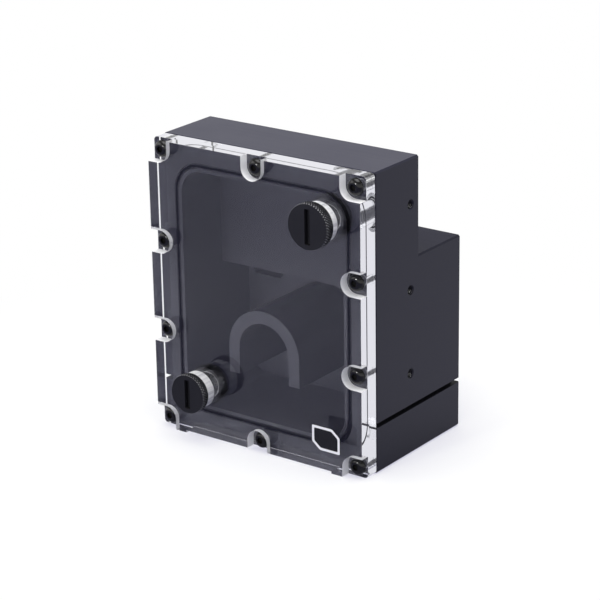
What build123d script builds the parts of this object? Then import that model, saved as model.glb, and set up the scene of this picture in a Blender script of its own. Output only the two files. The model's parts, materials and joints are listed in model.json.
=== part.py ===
# Coolant pump reservoir: a machined housing with a clear bolted cover, fill and drain plugs in the
# cover, two threaded ports on the ledge, and a centrifugal pump clamped in the rear wall.
#
# Millimetres. +X is to the right seen from the front, +Y points to the rear and +Z points up.
# The origin is the middle of the housing's bottom face, which the reservoir stands on.

import os
from math import cos, radians, sin, sqrt

from build123d import *

# Housing
body_width = 125.0
body_height = 150.0
body_depth = 73.0
upper_depth = 36.5  # of the thinner block above the ledge
ledge_height = 100.5
edge_bevel = 0.8

# Chamber: a shallow part above and a deeper sump below the step
chamber_inset = 14.65  # from the housing's outline
chamber_corner = 12.0
upper_wall = 6.5  # behind the shallow part
rear_wall = 21.5  # behind the sump
ledge_roof = 20.5  # above the sump

# Arch that keeps bubbles away from the pump's inlet
arch_outer = 21.2
arch_thickness = 6.4
arch_leg = 14.0  # below the pump's axis
arch_gap = 0.3  # to the plane of the sealing face

# Clear cover
cover_thickness = 12.0
cover_gap = 0.1  # the cord seal holds the cover this far off the housing
pocket_radius = 5.9  # round a screw
pocket_depth = 5.0
cover_corner = 2.0
foot_height = 1.2  # of the two feet beside the relief in the cover's lower edge
foot_width = 18.0

# Cover screws, M5 with low domed heads
screw_inset = 5.5
screw_rows = 4
screw_thread = 2.5
screw_length = 16.0
screw_head = 4.25
screw_head_height = 2.75
screw_head_round = 2.0
screw_socket = 3.0  # across flats
screw_socket_depth = 1.6
thread_play = 0.05
shank_play = 0.25

# Cord seal round the chamber, squeezed flat
seal_inset = 11.6
seal_corner = 14.5
seal_width = 2.2
seal_groove_width = 2.6
seal_groove_depth = 1.5

# Side grooves for a sheet bracket, and side tapped holes for M5
groove_height = 24.5
groove_width = 2.4
groove_depth = 5.0
side_hole_radius = 2.1
side_hole_depth = 10.5
side_hole_from_front = 29.3
side_hole_first = 42.0
side_hole_pitch = 42.6
side_hole_count = 3
side_hole_sink = 0.5

# Threaded ports on the ledge, for G1/4 fittings
port_radius = 5.9
port_depth = 12.0
passage_radius = 4.2
outlet_inset = 0.6  # of the outlet's passage from the volute's rim
return_x = -35.5
return_pocket_width = 19.0
return_pocket_height = 12.0
return_pocket_corner = 3.0

# Fill and drain ports in the cover: a collar on a G1/4 thread and a plug on a G1/8 thread
fill_side = 22.5  # from the cover's right edge
fill_drop = 24.0  # from the cover's top edge
fill_collar_radius = 10.0
fill_collar_length = 4.9
fill_head_radius = 11.4
fill_head_height = 5.4
fill_slot_length = 17.2
drain_side = 27.5  # from the cover's left edge
drain_z = 26.0
drain_collar_radius = 9.3
drain_collar_length = 5.5
drain_head_radius = 10.2
drain_head_height = 4.4
drain_slot_length = 15.0
collar_thread = 6.58
collar_stem_gap = 1.0  # the collar's stem ends this far inside the cover's back
collar_bevel = 0.4
plug_thread = 4.86
plug_play = 0.09
plug_pitch = 0.907
plug_turns = 6
slot_width = 3.0
slot_depth = 2.2
slot_corner = 0.5
head_bevel = 0.4
ring_height = 1.2  # of the flattened seal under each collar and head
ring_width = 1.3
ring_play = 0.2

# Pump, on an axis along Y
pump_height = 50.0
inlet_radius = 6.0
inlet_wall = 4.0
volute_radius = 22.0
volute_depth = 10.0
can_flange_radius = 30.0
seat_play = 0.4
pump_ring_radius = 26.0
pump_ring_width = 2.2
pump_ring_play = 0.1
pump_ring_depth = 1.4

# Separator cup and bearing
cup_wall = 0.8
cup_flange = 1.2
rotor_radius = 14.5
rotor_gap = 1.0
rotor_bore = 9.0
ball_radius = 3.0
ball_play = 0.08
post_radius = 1.5
post_play = 0.02
post_grip = 1.5  # length inside the ball
throat_radius = 4.0

# Impeller
impeller_radius = 17.5
impeller_eye = 7.0
back_gap = 0.8  # from the separator cup to the impeller's back plate
plate_thickness = 1.4
vane_height = 5.4
vane_thickness = 1.2
vane_count = 6
vane_sweep = 70.0  # degrees that a vane turns back between its ends
vane_root = 5.6
vane_bow = 0.35  # share of the sweep at half radius
front_plate = 1.0
hub_play = 0.05
nose_wall = 1.6

# Motor
can_wall = 2.2
can_radius = 27.0
can_length = 36.0
stator_play = 0.2
stator_start = 2.0
stator_length = 12.0
yoke_thickness = 2.2
tooth_count = 6
tooth_width = 5.0
tooth_margin = 2.0
cup_clearance = 0.9
coil_width = 1.9
coil_play = 0.15
board_start = 18.0
board_thickness = 1.6
board_play = 0.4
capacitor_radius = 3.2
capacitor_height = 8.0
capacitor_circle = 13.0
boss_radius = 3.0
boss_sunk = 1.0  # into the can's wall
cap_thickness = 4.0
cap_bevel = 1.0
cap_screw_count = 3
cap_screw_thread = 1.5
cap_screw_length = 12.0
cap_screw_head = 2.75
cap_screw_head_height = 1.8
cap_screw_slot = 0.7
gland_drop = 12.0
gland_neck = 4.0
gland_lip = 5.2
gland_lip_height = 1.2
gland_bore = 1.9
gland_play = 0.1

# Clamp ring on the rear face, M4 socket heads
clamp_inner = 27.4
clamp_outer = 38.5
clamp_thickness = 5.0
clamp_bevel = 0.5
clamp_screw_circle = 34.5
clamp_screw_count = 4
clamp_screw_thread = 2.0
clamp_screw_length = 15.0
clamp_screw_head = 3.5
clamp_screw_head_height = 4.0
clamp_screw_socket = 3.0
clamp_screw_socket_depth = 2.0

# Places that follow from the sizes above
front_y = -body_depth / 2
rear_y = body_depth / 2
ledge_y = front_y + upper_depth
chamber_y = ledge_y - upper_wall
sump_y = rear_y - rear_wall
sump_top = ledge_height - ledge_roof
chamber_width = body_width - 2 * chamber_inset
chamber_height = body_height - 2 * chamber_inset
volute_y = sump_y + inlet_wall
seat_y = volute_y + volute_depth
seat_depth = rear_y - seat_y
passage_y = (volute_y + seat_y) / 2
outlet_x = volute_radius - outlet_inset - passage_radius
cover_back_y = front_y - cover_gap
cover_front_y = cover_back_y - cover_thickness
screw_seat_y = cover_front_y + pocket_depth
screw_x = body_width / 2 - screw_inset
fill_x = body_width / 2 - fill_side
fill_z = body_height - fill_drop
drain_x = drain_side - body_width / 2
plug_stem = plug_turns * plug_pitch
screw_pitch = (body_height - 2 * screw_inset) / (screw_rows - 1)
rows = [screw_inset + row * screw_pitch for row in range(screw_rows)]
screw_points = [(side * screw_x, z) for z in rows for side in (-1, 1)] + [(0, rows[0]), (0, rows[-1])]
cup_radius = rotor_radius + rotor_gap
can_inner = can_radius - can_wall
stator_radius = can_inner - stator_play
board_end = board_start + board_thickness
boss_circle = can_inner - boss_radius + boss_sunk
cap_end = can_length + cap_thickness
yoke_inner = stator_radius - yoke_thickness
tooth_inner = cup_radius + cup_wall + cup_clearance
tooth_start = stator_start + tooth_margin
tooth_length = stator_length - 2 * tooth_margin
coil_inner = tooth_inner + coil_play
coil_outer = sqrt((yoke_inner - coil_play) ** 2 - (tooth_width / 2 + coil_play + coil_width) ** 2)
impeller_back = -back_gap
vane_start = impeller_back - plate_thickness
vane_end = vane_start - vane_height


def facing(y):
    """The plane across Y at y, seen from the front, with X and Z as its own axes."""
    return Plane.XZ.offset(-y)


def pump_plane(depth):
    """The same, centred on the pump's axis and depth behind the pump's seat."""
    return Plane(origin=(0, seat_y + depth, pump_height), x_dir=(1, 0, 0), z_dir=(0, -1, 0))


# Half plane through the pump's axis, for turned pieces: x is the radius, y the depth behind the seat
meridian = Plane(origin=(0, seat_y, pump_height))
pump_axis = Axis((0, 0, pump_height), (0, 1, 0))


def annulus(outer, inner):
    """A ring in the open sketch."""
    Circle(outer)
    Circle(inner, mode=Mode.SUBTRACT)


def front_and_left():
    """Cuts away what lies in front of the pump's seat or left of the axis in a meridian sketch."""
    Rectangle(
        4 * can_flange_radius, 2 * can_flange_radius, align=(Align.CENTER, Align.MAX), mode=Mode.SUBTRACT
    )
    Rectangle(
        2 * can_flange_radius, 4 * can_flange_radius, align=(Align.MAX, Align.CENTER), mode=Mode.SUBTRACT
    )


def seal_outline(width):
    """Width, height and corner radius of a rounded rectangle that lies width outside the seal's line."""
    return (
        body_width - 2 * seal_inset + 2 * width,
        body_height - 2 * seal_inset + 2 * width,
        seal_corner + width,
    )


# Housing
with BuildPart() as housing:
    with BuildSketch(Plane.YZ.offset(-body_width / 2)) as side_profile:
        with BuildLine():
            Polyline(
                (front_y, 0),
                (rear_y, 0),
                (rear_y, ledge_height),
                (ledge_y, ledge_height),
                (ledge_y, body_height),
                (front_y, body_height),
                close=True,
            )
        make_face()
    extrude(amount=body_width)
    inner_corner = Vertex(0, ledge_y, ledge_height)
    long_edges = housing.edges().filter_by(Axis.X).sort_by_distance(inner_corner)
    side_edges = housing.faces().filter_by(Axis.X).edges()
    chamfer(long_edges[1:] + side_edges, edge_bevel)

    # Shallow chamber over the full height, then the sump below the step
    with BuildSketch(facing(front_y)):
        with Locations((0, body_height / 2)):
            RectangleRounded(chamber_width, chamber_height, chamber_corner)
    extrude(amount=front_y - chamber_y, mode=Mode.SUBTRACT)
    with BuildSketch(facing(chamber_y)):
        with Locations((0, body_height / 2)):
            RectangleRounded(chamber_width, chamber_height, chamber_corner)
        with Locations((0, sump_top)):
            Rectangle(body_width, body_height, align=(Align.CENTER, Align.MIN), mode=Mode.SUBTRACT)
    extrude(amount=chamber_y - sump_y, mode=Mode.SUBTRACT)

    # Arch, from the sump's rear wall to just behind the sealing face
    with BuildSketch(facing(sump_y)):
        with Locations((0, pump_height)):
            Circle(arch_outer)
            Rectangle(2 * arch_outer, arch_outer, align=(Align.CENTER, Align.MAX))
            Circle(arch_outer - arch_thickness, mode=Mode.SUBTRACT)
            Rectangle(
                2 * (arch_outer - arch_thickness),
                2 * arch_outer,
                align=(Align.CENTER, Align.MAX),
                mode=Mode.SUBTRACT,
            )
        with Locations((0, pump_height - arch_leg)):
            Rectangle(
                3 * arch_outer, 3 * arch_outer, align=(Align.CENTER, Align.MAX), mode=Mode.SUBTRACT
            )
    extrude(amount=sump_y - front_y - arch_gap)

    # Groove for the cord seal
    with BuildSketch(facing(front_y)):
        with Locations((0, body_height / 2)):
            RectangleRounded(*seal_outline(seal_groove_width / 2))
            RectangleRounded(*seal_outline(-seal_groove_width / 2), mode=Mode.SUBTRACT)
    extrude(amount=-seal_groove_depth, mode=Mode.SUBTRACT)

    # Tapped holes for the cover's screws
    with BuildSketch(facing(front_y)):
        with Locations(*screw_points):
            Circle(screw_thread + thread_play)
    extrude(amount=front_y - screw_seat_y - screw_length - screw_thread, mode=Mode.SUBTRACT)

    # Side grooves and side tapped holes, the same on both sides
    for direction in (-1, 1):
        outward = Plane(
            origin=(direction * body_width / 2, 0, 0), x_dir=(0, 1, 0), z_dir=(direction, 0, 0)
        )
        with BuildSketch(outward):
            with Locations((0, direction * groove_height)):
                Rectangle(body_depth, groove_width)
        extrude(amount=-groove_depth, mode=Mode.SUBTRACT)
        holes = [
            (front_y + side_hole_from_front, direction * (side_hole_first + step * side_hole_pitch))
            for step in range(side_hole_count)
        ]
        with Locations(outward):
            with Locations(*holes):
                CounterSinkHole(side_hole_radius, side_hole_radius + side_hole_sink, side_hole_depth)

    # Return port: a threaded bore on the ledge and a passage down into a pocket in the sump's wall
    with BuildSketch(facing(sump_y)):
        with Locations((return_x, sump_top - return_pocket_height / 2)):
            RectangleRounded(return_pocket_width, return_pocket_height, return_pocket_corner)
    extrude(amount=sump_y - seat_y, mode=Mode.SUBTRACT)
    with BuildSketch(Plane.XY.offset(ledge_height)):
        with Locations((return_x, passage_y)):
            Circle(passage_radius)
    extrude(amount=-(ledge_roof + return_pocket_height / 2), mode=Mode.SUBTRACT)

    # Outlet port: the same, down to the side of the volute
    with BuildSketch(Plane.XY.offset(ledge_height)):
        with Locations((outlet_x, passage_y)):
            Circle(passage_radius)
    extrude(amount=pump_height - ledge_height, mode=Mode.SUBTRACT)
    with BuildSketch(Plane.XY.offset(ledge_height)):
        with Locations((return_x, passage_y), (outlet_x, passage_y)):
            Circle(port_radius)
    extrude(amount=-port_depth, mode=Mode.SUBTRACT)

    # Inlet, volute, seat with its seal groove, and tapped holes for the clamp ring
    with BuildSketch(pump_plane(0)):
        Circle(inlet_radius)
    extrude(amount=seat_y - sump_y, mode=Mode.SUBTRACT)
    with BuildSketch(pump_plane(0)):
        Circle(volute_radius)
    extrude(amount=volute_depth, mode=Mode.SUBTRACT)
    with BuildSketch(pump_plane(0)):
        Circle(can_flange_radius + seat_play)
    extrude(amount=-seat_depth, mode=Mode.SUBTRACT)
    with BuildSketch(pump_plane(0)):
        annulus(
            pump_ring_radius + pump_ring_width / 2 + pump_ring_play,
            pump_ring_radius - pump_ring_width / 2 - pump_ring_play,
        )
    extrude(amount=pump_ring_depth, mode=Mode.SUBTRACT)
    with BuildSketch(pump_plane(seat_depth)):
        with PolarLocations(clamp_screw_circle, clamp_screw_count):
            Circle(clamp_screw_thread + thread_play)
    extrude(amount=clamp_screw_length - clamp_thickness + clamp_screw_thread, mode=Mode.SUBTRACT)

housing.part.label = "housing"


# Clear cover, with a pocket for each screw and a relief that leaves two feet on its lower edge
with BuildPart() as front_cover:
    with BuildSketch(facing(cover_back_y)):
        with Locations((0, body_height / 2)):
            RectangleRounded(body_width, body_height, cover_corner)
        Rectangle(
            body_width - 2 * foot_width,
            foot_height,
            align=(Align.CENTER, Align.MIN),
            mode=Mode.SUBTRACT,
        )
    extrude(amount=cover_thickness)

    # Each pocket is a rounded square round its screw, open to the nearest edges
    with BuildSketch(facing(cover_front_y)):
        with Locations(*screw_points):
            Circle(pocket_radius)
        for side in (-1, 1):
            for z in rows:
                with Locations((side * screw_x, z)):
                    Rectangle(
                        2 * pocket_radius,
                        2 * pocket_radius,
                        align=(Align.MIN if side > 0 else Align.MAX, Align.CENTER),
                    )
        for z, direction in ((rows[0], Align.MAX), (rows[-1], Align.MIN)):
            with Locations((-screw_x, z), (0, z), (screw_x, z)):
                Rectangle(2 * pocket_radius, 2 * pocket_radius, align=(Align.CENTER, direction))
    extrude(amount=-pocket_depth, mode=Mode.SUBTRACT)

    with BuildSketch(facing(cover_back_y)):
        with Locations(*screw_points):
            Circle(screw_thread + shank_play)
        with Locations((fill_x, fill_z), (drain_x, drain_z)):
            Circle(collar_thread + thread_play)
    extrude(amount=cover_thickness, mode=Mode.SUBTRACT)

front_cover.part.label = "front_cover"


# Cord seal in the housing's groove, flat against the cover
with BuildPart() as cover_seal:
    with BuildSketch(facing(front_y + seal_groove_depth)):
        with Locations((0, body_height / 2)):
            RectangleRounded(*seal_outline(seal_width / 2))
            RectangleRounded(*seal_outline(-seal_width / 2), mode=Mode.SUBTRACT)
    extrude(amount=seal_groove_depth + cover_gap)

cover_seal.part.label = "cover_seal"


# Ten screws of one kind: a domed head with a hexagon socket, on a plain shank
with BuildPart() as cover_screw:
    with BuildSketch(facing(screw_seat_y)):
        Circle(screw_head)
    extrude(amount=screw_head_height)
    fillet(cover_screw.edges().group_by(Axis.Y)[0], screw_head_round)
    with BuildSketch(facing(screw_seat_y - screw_head_height)):
        RegularPolygon(screw_socket / 2, 6, major_radius=False)
    extrude(amount=-screw_socket_depth, mode=Mode.SUBTRACT)
    with BuildSketch(facing(screw_seat_y)):
        Circle(screw_thread)
    extrude(amount=-screw_length)

with BuildPart() as cover_screws:
    with Locations(*[(x, 0, z) for x, z in screw_points]):
        add(cover_screw.part)

cover_screws.part.label = "cover_screws"


def collar(x, z, radius, length):
    """A threaded collar: a flange on the cover, a stem in it, a bore for the plug, a seal recess."""
    with BuildPart() as piece:
        with BuildSketch(facing(cover_front_y)):
            with Locations((x, z)):
                Circle(radius)
        extrude(amount=length)
        chamfer(piece.edges().group_by(Axis.Y)[0], collar_bevel)
        with BuildSketch(facing(cover_front_y)):
            with Locations((x, z)):
                Circle(collar_thread + ring_width + ring_play)
        extrude(amount=ring_height, mode=Mode.SUBTRACT)
        with BuildSketch(facing(cover_front_y - ring_height)):
            with Locations((x, z)):
                Circle(collar_thread)
        extrude(amount=-(ring_height + cover_thickness - collar_stem_gap))
        with BuildSketch(facing(cover_back_y)):
            with Locations((x, z)):
                Circle(plug_thread + plug_play)
        extrude(amount=cover_thickness + length, mode=Mode.SUBTRACT)
    return piece


def ring_seal(x, z, y, inner):
    """A flattened ring that reaches ring_height forward from y, round a stem of the inner radius."""
    with BuildPart() as piece:
        with BuildSketch(facing(y)):
            with Locations((x, z)):
                annulus(inner + ring_width, inner)
        extrude(amount=ring_height)
    return piece


def plug(x, z, collar_length, head_radius, head_height, slot_length):
    """A plug: a head with a coin slot, a seal recess under it, and a stem that fills the collar."""
    seat = cover_front_y - collar_length
    with BuildPart() as piece:
        with BuildSketch(facing(seat)):
            with Locations((x, z)):
                Circle(head_radius)
        extrude(amount=head_height)
        chamfer(piece.edges(), head_bevel)
        with BuildSketch(facing(seat - head_height)):
            with Locations((x, z)):
                RectangleRounded(slot_width, slot_length, slot_corner)
        extrude(amount=-slot_depth, mode=Mode.SUBTRACT)
        with BuildSketch(facing(seat)):
            with Locations((x, z)):
                Circle(plug_thread + ring_width + 2 * ring_play)
        extrude(amount=ring_height, mode=Mode.SUBTRACT)
        with BuildSketch(facing(seat - ring_height)):
            with Locations((x, z)):
                Circle(plug_thread)
        extrude(amount=-(ring_height + plug_stem))
    return piece


fill_port_collar = collar(fill_x, fill_z, fill_collar_radius, fill_collar_length)
fill_port_collar.part.label = "fill_port_collar"
fill_collar_seal = ring_seal(fill_x, fill_z, cover_front_y, collar_thread + ring_play / 2)
fill_collar_seal.part.label = "fill_collar_seal"
fill_plug = plug(
    fill_x, fill_z, fill_collar_length, fill_head_radius, fill_head_height, fill_slot_length
)
fill_plug.part.label = "fill_plug"
fill_plug_seal = ring_seal(fill_x, fill_z, cover_front_y - fill_collar_length, plug_thread + ring_play)
fill_plug_seal.part.label = "fill_plug_seal"

drain_port_collar = collar(drain_x, drain_z, drain_collar_radius, drain_collar_length)
drain_port_collar.part.label = "drain_port_collar"
drain_collar_seal = ring_seal(drain_x, drain_z, cover_front_y, collar_thread + ring_play / 2)
drain_collar_seal.part.label = "drain_collar_seal"
drain_plug = plug(
    drain_x, drain_z, drain_collar_length, drain_head_radius, drain_head_height, drain_slot_length
)
drain_plug.part.label = "drain_plug"
drain_plug_seal = ring_seal(
    drain_x, drain_z, cover_front_y - drain_collar_length, plug_thread + ring_play
)
drain_plug_seal.part.label = "drain_plug_seal"


# Seal in the pump's seat, flat against the separator cup
with BuildPart() as pump_seal:
    with BuildSketch(pump_plane(0)):
        annulus(pump_ring_radius + pump_ring_width / 2, pump_ring_radius - pump_ring_width / 2)
    extrude(amount=pump_ring_depth)

pump_seal.part.label = "pump_seal"


# Separator cup: a flange against the seat and a round bowl that the rotor turns in
with BuildPart() as separator_cup:
    with BuildSketch(meridian):
        Circle(cup_radius + cup_wall)
        Rectangle(can_flange_radius, cup_flange, align=(Align.MIN, Align.MIN))
        Circle(cup_radius, mode=Mode.SUBTRACT)
        front_and_left()
        Rectangle(
            post_radius + post_play, can_radius, align=(Align.MIN, Align.MIN), mode=Mode.SUBTRACT
        )
    revolve(axis=pump_axis)

separator_cup.part.label = "separator_cup"


# Post through the bowl's bottom, and the ball on its end that the rotor turns on
with BuildPart() as bearing_post:
    with BuildSketch(pump_plane(cup_radius + cup_wall)):
        Circle(post_radius)
    extrude(amount=cup_radius + cup_wall - ball_radius + post_grip)

bearing_post.part.label = "bearing_post"

with BuildPart() as bearing_ball:
    with Locations(pump_plane(0)):
        Sphere(ball_radius)
    with BuildSketch(pump_plane(ball_radius)):
        Circle(post_radius + post_play)
    extrude(amount=post_grip + post_play, mode=Mode.SUBTRACT)

bearing_ball.part.label = "bearing_ball"


# Rotor magnet: the hollow half ball that the impeller carries
with BuildPart() as rotor_magnet:
    with BuildSketch(meridian):
        Circle(rotor_radius)
        Circle(rotor_bore, mode=Mode.SUBTRACT)
        front_and_left()
        Rectangle(throat_radius, 2 * rotor_radius, align=(Align.MIN, Align.MIN), mode=Mode.SUBTRACT)
    revolve(axis=pump_axis)

rotor_magnet.part.label = "rotor_magnet"


# Centre line of one vane, swept back against the turning sense, made as wide as the vane
def on_circle(radius, degrees):
    return (radius * cos(radians(degrees)), radius * sin(radians(degrees)))


with BuildSketch() as vane:
    with BuildLine():
        ThreePointArc(
            on_circle(vane_root, 0),
            on_circle((vane_root + impeller_radius) / 2, -vane_sweep * vane_bow),
            on_circle(impeller_radius - vane_thickness, -vane_sweep),
        )
    trace(line_width=vane_thickness)


# Impeller: hub and socket over the ball, back plate, swept vanes and front plate with an open eye
with BuildPart() as impeller:
    with BuildSketch(meridian):
        Circle(rotor_bore - hub_play)
        front_and_left()
        Rectangle(rotor_radius, back_gap, align=(Align.MIN, Align.MAX))
        Rectangle(throat_radius, rotor_bore, align=(Align.MIN, Align.MIN), mode=Mode.SUBTRACT)
    revolve(axis=pump_axis)
    with BuildSketch(pump_plane(impeller_back)):
        Circle(impeller_radius)
    extrude(amount=plate_thickness)
    with Locations(pump_plane(0)):
        Sphere(ball_radius + ball_play + nose_wall)
    with BuildSketch(pump_plane(0)):
        Circle(throat_radius)
    extrude(amount=-rotor_bore, mode=Mode.SUBTRACT)
    with Locations(pump_plane(0)):
        Sphere(ball_radius + ball_play, mode=Mode.SUBTRACT)
    with BuildSketch(pump_plane(vane_start)):
        with PolarLocations(0, vane_count):
            add(vane.sketch)
    extrude(amount=vane_height)
    with BuildSketch(pump_plane(vane_end)):
        annulus(impeller_radius, impeller_eye)
    extrude(amount=front_plate)

impeller.part.label = "impeller"


# Stator: a yoke with a tooth for each winding
with BuildPart() as stator:
    with BuildSketch(pump_plane(stator_start)):
        annulus(stator_radius, yoke_inner)
    extrude(amount=-stator_length)
    with BuildSketch(pump_plane(tooth_start)):
        with PolarLocations(tooth_inner, tooth_count):
            Rectangle(
                yoke_inner + yoke_thickness / 2 - tooth_inner,
                tooth_width,
                align=(Align.MIN, Align.CENTER),
            )
    extrude(amount=-tooth_length)

stator.part.label = "stator"


# Windings: one closed frame round each tooth
with BuildPart() as stator_windings:
    for margin, mode in ((coil_play + coil_width, Mode.ADD), (coil_play, Mode.SUBTRACT)):
        with BuildSketch(pump_plane(tooth_start - margin)):
            with PolarLocations(coil_inner, tooth_count):
                Rectangle(
                    coil_outer - coil_inner,
                    tooth_width + 2 * margin,
                    align=(Align.MIN, Align.CENTER),
                )
        extrude(amount=-(tooth_length + 2 * margin), mode=mode)

stator_windings.part.label = "stator_windings"


# Circuit board behind the windings, with its two capacitors
with BuildPart() as circuit_board:
    with BuildSketch(pump_plane(board_start)):
        Circle(can_inner - board_play)
    extrude(amount=-board_thickness)
    with BuildSketch(pump_plane(board_end)):
        with PolarLocations(capacitor_circle, 2):
            Circle(capacitor_radius)
    extrude(amount=-capacitor_height)

circuit_board.part.label = "circuit_board"


# Motor can: a flange in the housing's seat, a tube, and bosses that carry the board and the end cap
with BuildPart() as motor_can:
    with BuildSketch(pump_plane(cup_flange)):
        annulus(can_flange_radius, can_inner)
    extrude(amount=-(seat_depth - cup_flange))
    with BuildSketch(pump_plane(cup_flange)):
        annulus(can_radius, can_inner)
    extrude(amount=-(can_length - cup_flange))
    with BuildSketch(pump_plane(board_end)):
        with PolarLocations(boss_circle, cap_screw_count, start_angle=90):
            Circle(boss_radius)
    extrude(amount=-(can_length - board_end))
    with BuildSketch(pump_plane(can_length)):
        with PolarLocations(boss_circle, cap_screw_count, start_angle=90):
            Circle(cap_screw_thread + thread_play)
    extrude(amount=cap_screw_length, mode=Mode.SUBTRACT)

motor_can.part.label = "motor_can"


# End cap, with sunk screws and a hole for the cable gland
with BuildPart() as motor_end_cap:
    with BuildSketch(pump_plane(can_length)):
        Circle(can_radius)
    extrude(amount=-cap_thickness)
    chamfer(motor_end_cap.edges().group_by(Axis.Y)[-1], cap_bevel)
    with BuildSketch(pump_plane(can_length)):
        with PolarLocations(boss_circle, cap_screw_count, start_angle=90):
            Circle(cap_screw_thread + shank_play)
        with Locations((0, -gland_drop)):
            Circle(gland_neck)
    extrude(amount=-cap_thickness, mode=Mode.SUBTRACT)
    with BuildSketch(pump_plane(cap_end)):
        with PolarLocations(boss_circle, cap_screw_count, start_angle=90):
            Circle(cap_screw_head + shank_play)
    extrude(amount=cap_screw_head_height, mode=Mode.SUBTRACT)

motor_end_cap.part.label = "motor_end_cap"


# Slotted screws that hold the end cap
with BuildPart() as end_cap_screws:
    with BuildSketch(pump_plane(cap_end)):
        with PolarLocations(boss_circle, cap_screw_count, start_angle=90):
            Circle(cap_screw_head)
    extrude(amount=cap_screw_head_height)
    with BuildSketch(pump_plane(cap_end)):
        with PolarLocations(boss_circle, cap_screw_count, start_angle=90):
            Rectangle(3 * cap_screw_head, cap_screw_slot)
    extrude(amount=cap_screw_head_height / 2, mode=Mode.SUBTRACT)
    with BuildSketch(pump_plane(cap_end - cap_screw_head_height)):
        with PolarLocations(boss_circle, cap_screw_count, start_angle=90):
            Circle(cap_screw_thread)
    extrude(amount=cap_screw_length)

end_cap_screws.part.label = "end_cap_screws"


# Rubber gland for the cable: a neck through the end cap between two lips, and a bore
with BuildPart() as cable_gland:
    with BuildSketch(pump_plane(can_length - gland_lip_height)):
        with Locations((0, -gland_drop)):
            Circle(gland_lip)
    extrude(amount=-gland_lip_height)
    with BuildSketch(pump_plane(can_length)):
        with Locations((0, -gland_drop)):
            Circle(gland_neck - gland_play)
    extrude(amount=-cap_thickness)
    with BuildSketch(pump_plane(cap_end)):
        with Locations((0, -gland_drop)):
            Circle(gland_lip)
    extrude(amount=-gland_lip_height)
    chamfer(cable_gland.edges().group_by(Axis.Y)[-1], gland_lip_height / 2)
    with BuildSketch(pump_plane(can_length - gland_lip_height)):
        with Locations((0, -gland_drop)):
            Circle(gland_bore)
    extrude(amount=-(cap_thickness + 2 * gland_lip_height), mode=Mode.SUBTRACT)

cable_gland.part.label = "cable_gland"


# Clamp ring over the motor can's flange, and its four screws
with BuildPart() as pump_clamp_ring:
    with BuildSketch(pump_plane(seat_depth)):
        annulus(clamp_outer, clamp_inner)
    extrude(amount=-clamp_thickness)
    chamfer(pump_clamp_ring.edges().group_by(Axis.Y)[-1], clamp_bevel)
    with BuildSketch(pump_plane(seat_depth)):
        with PolarLocations(clamp_screw_circle, clamp_screw_count):
            Circle(clamp_screw_thread + shank_play)
    extrude(amount=-clamp_thickness, mode=Mode.SUBTRACT)

pump_clamp_ring.part.label = "pump_clamp_ring"

with BuildPart() as pump_clamp_screws:
    with BuildSketch(pump_plane(seat_depth + clamp_thickness)):
        with PolarLocations(clamp_screw_circle, clamp_screw_count):
            Circle(clamp_screw_head)
    extrude(amount=-clamp_screw_head_height)
    chamfer(pump_clamp_screws.edges().group_by(Axis.Y)[-1], head_bevel)
    with BuildSketch(pump_plane(seat_depth + clamp_thickness + clamp_screw_head_height)):
        with PolarLocations(clamp_screw_circle, clamp_screw_count):
            RegularPolygon(clamp_screw_socket / 2, 6, major_radius=False)
    extrude(amount=clamp_screw_socket_depth, mode=Mode.SUBTRACT)
    with BuildSketch(pump_plane(seat_depth + clamp_thickness)):
        with PolarLocations(clamp_screw_circle, clamp_screw_count):
            Circle(clamp_screw_thread)
    extrude(amount=clamp_screw_length)

pump_clamp_screws.part.label = "pump_clamp_screws"


pieces = [
    housing,
    front_cover,
    cover_seal,
    cover_screws,
    fill_port_collar,
    fill_collar_seal,
    fill_plug,
    fill_plug_seal,
    drain_port_collar,
    drain_collar_seal,
    drain_plug,
    drain_plug_seal,
    pump_seal,
    separator_cup,
    bearing_post,
    bearing_ball,
    rotor_magnet,
    impeller,
    stator,
    stator_windings,
    circuit_board,
    motor_can,
    motor_end_cap,
    end_cap_screws,
    cable_gland,
    pump_clamp_ring,
    pump_clamp_screws,
]
os.makedirs("parts", exist_ok=True)
for piece in pieces:
    export_step(piece.part, f"parts/{piece.part.label}.step")
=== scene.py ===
import json
import math

import bmesh
import bpy
import numpy as np
from mathutils import Matrix, Vector


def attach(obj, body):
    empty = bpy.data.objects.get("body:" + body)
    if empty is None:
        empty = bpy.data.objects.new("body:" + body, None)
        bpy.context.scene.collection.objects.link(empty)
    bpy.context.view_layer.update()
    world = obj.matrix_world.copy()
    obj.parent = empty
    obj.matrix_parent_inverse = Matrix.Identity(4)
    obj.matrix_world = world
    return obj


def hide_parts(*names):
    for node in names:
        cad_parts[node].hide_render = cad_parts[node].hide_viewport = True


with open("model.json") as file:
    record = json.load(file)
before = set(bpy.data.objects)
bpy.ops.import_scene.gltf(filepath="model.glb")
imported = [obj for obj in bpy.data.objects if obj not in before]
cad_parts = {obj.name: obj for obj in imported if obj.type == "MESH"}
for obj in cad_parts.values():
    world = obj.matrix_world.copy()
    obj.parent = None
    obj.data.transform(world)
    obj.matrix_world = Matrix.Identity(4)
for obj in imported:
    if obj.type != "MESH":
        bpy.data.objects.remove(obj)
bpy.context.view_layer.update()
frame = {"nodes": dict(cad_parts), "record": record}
nodes = frame["nodes"]
mm = 0.001
print("frame loaded,", len(nodes), "nodes")


# Camera, at the photograph's viewing angle
camera = {
    "eye": (641.3, -873.4, 457.4),  # mm
    "azimuth": 36.65,
    "elevation": 19.91,
    "roll": -0.97,
    "lens": 139.53,
    "sensor": 36.0,
    "nearest": 0.05,  # m
    "furthest": 20,
}


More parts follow.
